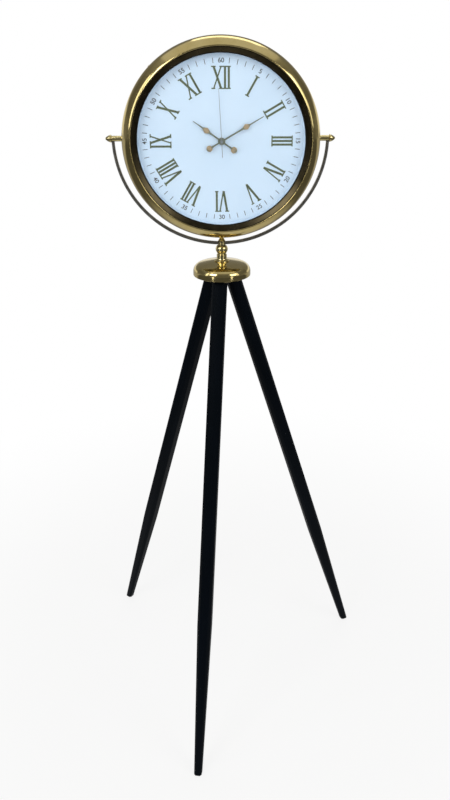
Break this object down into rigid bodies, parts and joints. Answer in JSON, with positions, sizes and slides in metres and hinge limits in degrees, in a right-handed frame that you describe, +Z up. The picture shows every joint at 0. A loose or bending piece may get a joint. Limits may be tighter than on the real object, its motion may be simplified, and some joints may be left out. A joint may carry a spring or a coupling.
{
  "type": "tripod floor clock",
  "caption": "Round brass drum clock with a pale Roman dial, held in a half-ring yoke that tilts and swivels on a turned spindle above three splayed black wooden legs.",
  "frame": {"origin": "on the floor, below the middle of the rectangle that the three feet reach", "axes": "+Z up, -Y towards the viewer of the dial, +X to the right as seen from the front"},
  "size_m": [0.6331, 0.6103, 1.5543],
  "materials": {
    "black_lacquered_wood": "satin",
    "antique_brass": "satin",
    "dark_bronze_ring": "satin",
    "antique_brass_hands": "satin",
    "gunmetal_strap": "satin",
    "pale_dial_paint": "matte",
    "dial_print": "matte",
    "pale_flange_plastic": "matte",
    "clear_glass": "polished",
    "black_powder_coat": "matte",
    "black_rubber": "matte",
    "zinc_steel": "satin",
    "cast_iron_block": "painted",
    "black_movement_plastic": "matte",
    "white_gear_plastic": "matte",
    "gear_brass": "polished",
    "copper_winding": "polished",
    "green_board": "gloss",
    "battery_sleeve": "gloss",
    "rotor_magnet": "matte"
  },
  "bodies": {
    "stand": {"leg_front": "black_lacquered_wood", "leg_right": "black_lacquered_wood", "leg_left": "black_lacquered_wood", "foot_glides": "black_movement_plastic", "leg_studs": "zinc_steel", "hub_cap": "antique_brass", "hub_block": "cast_iron_block", "spindle": "antique_brass", "spindle_washer": "zinc_steel", "spindle_nut": "zinc_steel", "swivel_washers": "black_movement_plastic", "finial_nut": "antique_brass"},
    "yoke": {"yoke": "gunmetal_strap", "yoke_saddle": "antique_brass", "left_pivot_sleeve": "antique_brass", "right_pivot_sleeve": "antique_brass"},
    "drum": {"pivot_washers": "black_movement_plastic", "pivot_nuts": "zinc_steel", "drum_case": "antique_brass", "dial_seat_ring": "zinc_steel", "front_bezel": "antique_brass", "bezel_screws": "antique_brass", "reveal_ring": "dark_bronze_ring", "lens_gasket": "black_rubber", "glass_lens": "clear_glass", "dial_flange": "pale_flange_plastic", "dial_plate": "pale_dial_paint", "hour_numerals": "dial_print", "minute_ticks": "dial_print", "back_plate": "black_powder_coat", "back_plate_screws": "zinc_steel", "back_cover": "antique_brass", "back_cover_screws": "antique_brass", "movement_case": "black_movement_plastic", "movement_cover": "black_movement_plastic", "dial_cushion": "black_rubber", "bush_washer": "gear_brass", "bush_nut": "gear_brass", "train_plate": "zinc_steel", "stator": "zinc_steel", "coil_bobbin": "black_movement_plastic", "coil_winding": "copper_winding", "circuit_board": "green_board", "battery": "battery_sleeve", "battery_contacts": "zinc_steel"},
    "left_knob": {"left_clamp_knob": "antique_brass"},
    "right_knob": {"right_clamp_knob": "antique_brass"},
    "seconds": {"second_hand": "antique_brass_hands", "seconds_wheel": "gear_brass"},
    "third": {"third_wheel": "gear_brass"},
    "intermediate": {"intermediate_wheel": "white_gear_plastic"},
    "rotor": {"rotor": "rotor_magnet"},
    "minute": {"minute_hand": "antique_brass_hands", "minute_wheel": "gear_brass"},
    "motion": {"motion_wheel": "white_gear_plastic"},
    "hour": {"hour_hand": "antique_brass_hands", "hour_wheel": "white_gear_plastic"},
    "setter": {"setting_wheel": "white_gear_plastic", "setting_knob": "black_movement_plastic"}
  },
  "joints": [
    {"name": "head_swivel", "type": "hinge", "parent": "stand", "child": "yoke", "pos_m": [-0.03454, 0.05893, 1.13075], "axis": [0, 0, 1], "continuous": true},
    {"name": "drum_tilt", "type": "hinge", "parent": "yoke", "child": "drum", "pos_m": [-0.03454, 0.05893, 1.35425], "axis": [1, 0, 0], "continuous": true},
    {"name": "left_knob_turn", "type": "hinge", "parent": "drum", "child": "left_knob", "pos_m": [-0.26154, 0.05893, 1.35425], "axis": [1, 0, 0], "range_deg": [0, 90]},
    {"name": "right_knob_turn", "type": "hinge", "parent": "drum", "child": "right_knob", "pos_m": [0.19246, 0.05893, 1.35425], "axis": [-1, 0, 0], "range_deg": [0, 90]},
    {"name": "second_hand_turn", "type": "hinge", "parent": "drum", "child": "seconds", "pos_m": [-0.03454, 0.01893, 1.35425], "axis": [0, 1, 0], "continuous": true},
    {"name": "third_turn", "type": "hinge", "parent": "drum", "child": "third", "pos_m": [-0.03004, 0.01893, 1.36204], "axis": [0, 1, 0], "continuous": true},
    {"name": "minute_hand_turn", "type": "hinge", "parent": "drum", "child": "minute", "pos_m": [-0.03454, 0.01893, 1.35425], "axis": [0, 1, 0], "continuous": true},
    {"name": "motion_turn", "type": "hinge", "parent": "drum", "child": "motion", "pos_m": [-0.04054, 0.01893, 1.35425], "axis": [0, 1, 0], "continuous": true},
    {"name": "hour_hand_turn", "type": "hinge", "parent": "drum", "child": "hour", "pos_m": [-0.03454, 0.01893, 1.35425], "axis": [0, 1, 0], "continuous": true},
    {"name": "setting_turn", "type": "hinge", "parent": "drum", "child": "setter", "pos_m": [-0.04703, 0.01893, 1.358], "axis": [0, 1, 0], "continuous": true},
    {"name": "intermediate_turn", "type": "hinge", "parent": "drum", "child": "intermediate", "pos_m": [-0.02609, 0.01893, 1.35198], "axis": [0, 1, 0], "continuous": true},
    {"name": "rotor_turn", "type": "hinge", "parent": "drum", "child": "rotor", "pos_m": [-0.02089, 0.01893, 1.35498], "axis": [0, 1, 0], "continuous": true}
  ],
  "couplings": [
    {"joint": "third_turn", "follows": "second_hand_turn", "ratio": -0.13333},
    {"joint": "minute_hand_turn", "follows": "second_hand_turn", "ratio": 0.016667},
    {"joint": "motion_turn", "follows": "second_hand_turn", "ratio": -0.0055556},
    {"joint": "hour_hand_turn", "follows": "second_hand_turn", "ratio": 0.0013889},
    {"joint": "setting_turn", "follows": "second_hand_turn", "ratio": 0.0083333},
    {"joint": "intermediate_turn", "follows": "second_hand_turn", "ratio": -6},
    {"joint": "rotor_turn", "follows": "second_hand_turn", "ratio": 30}
  ]
}
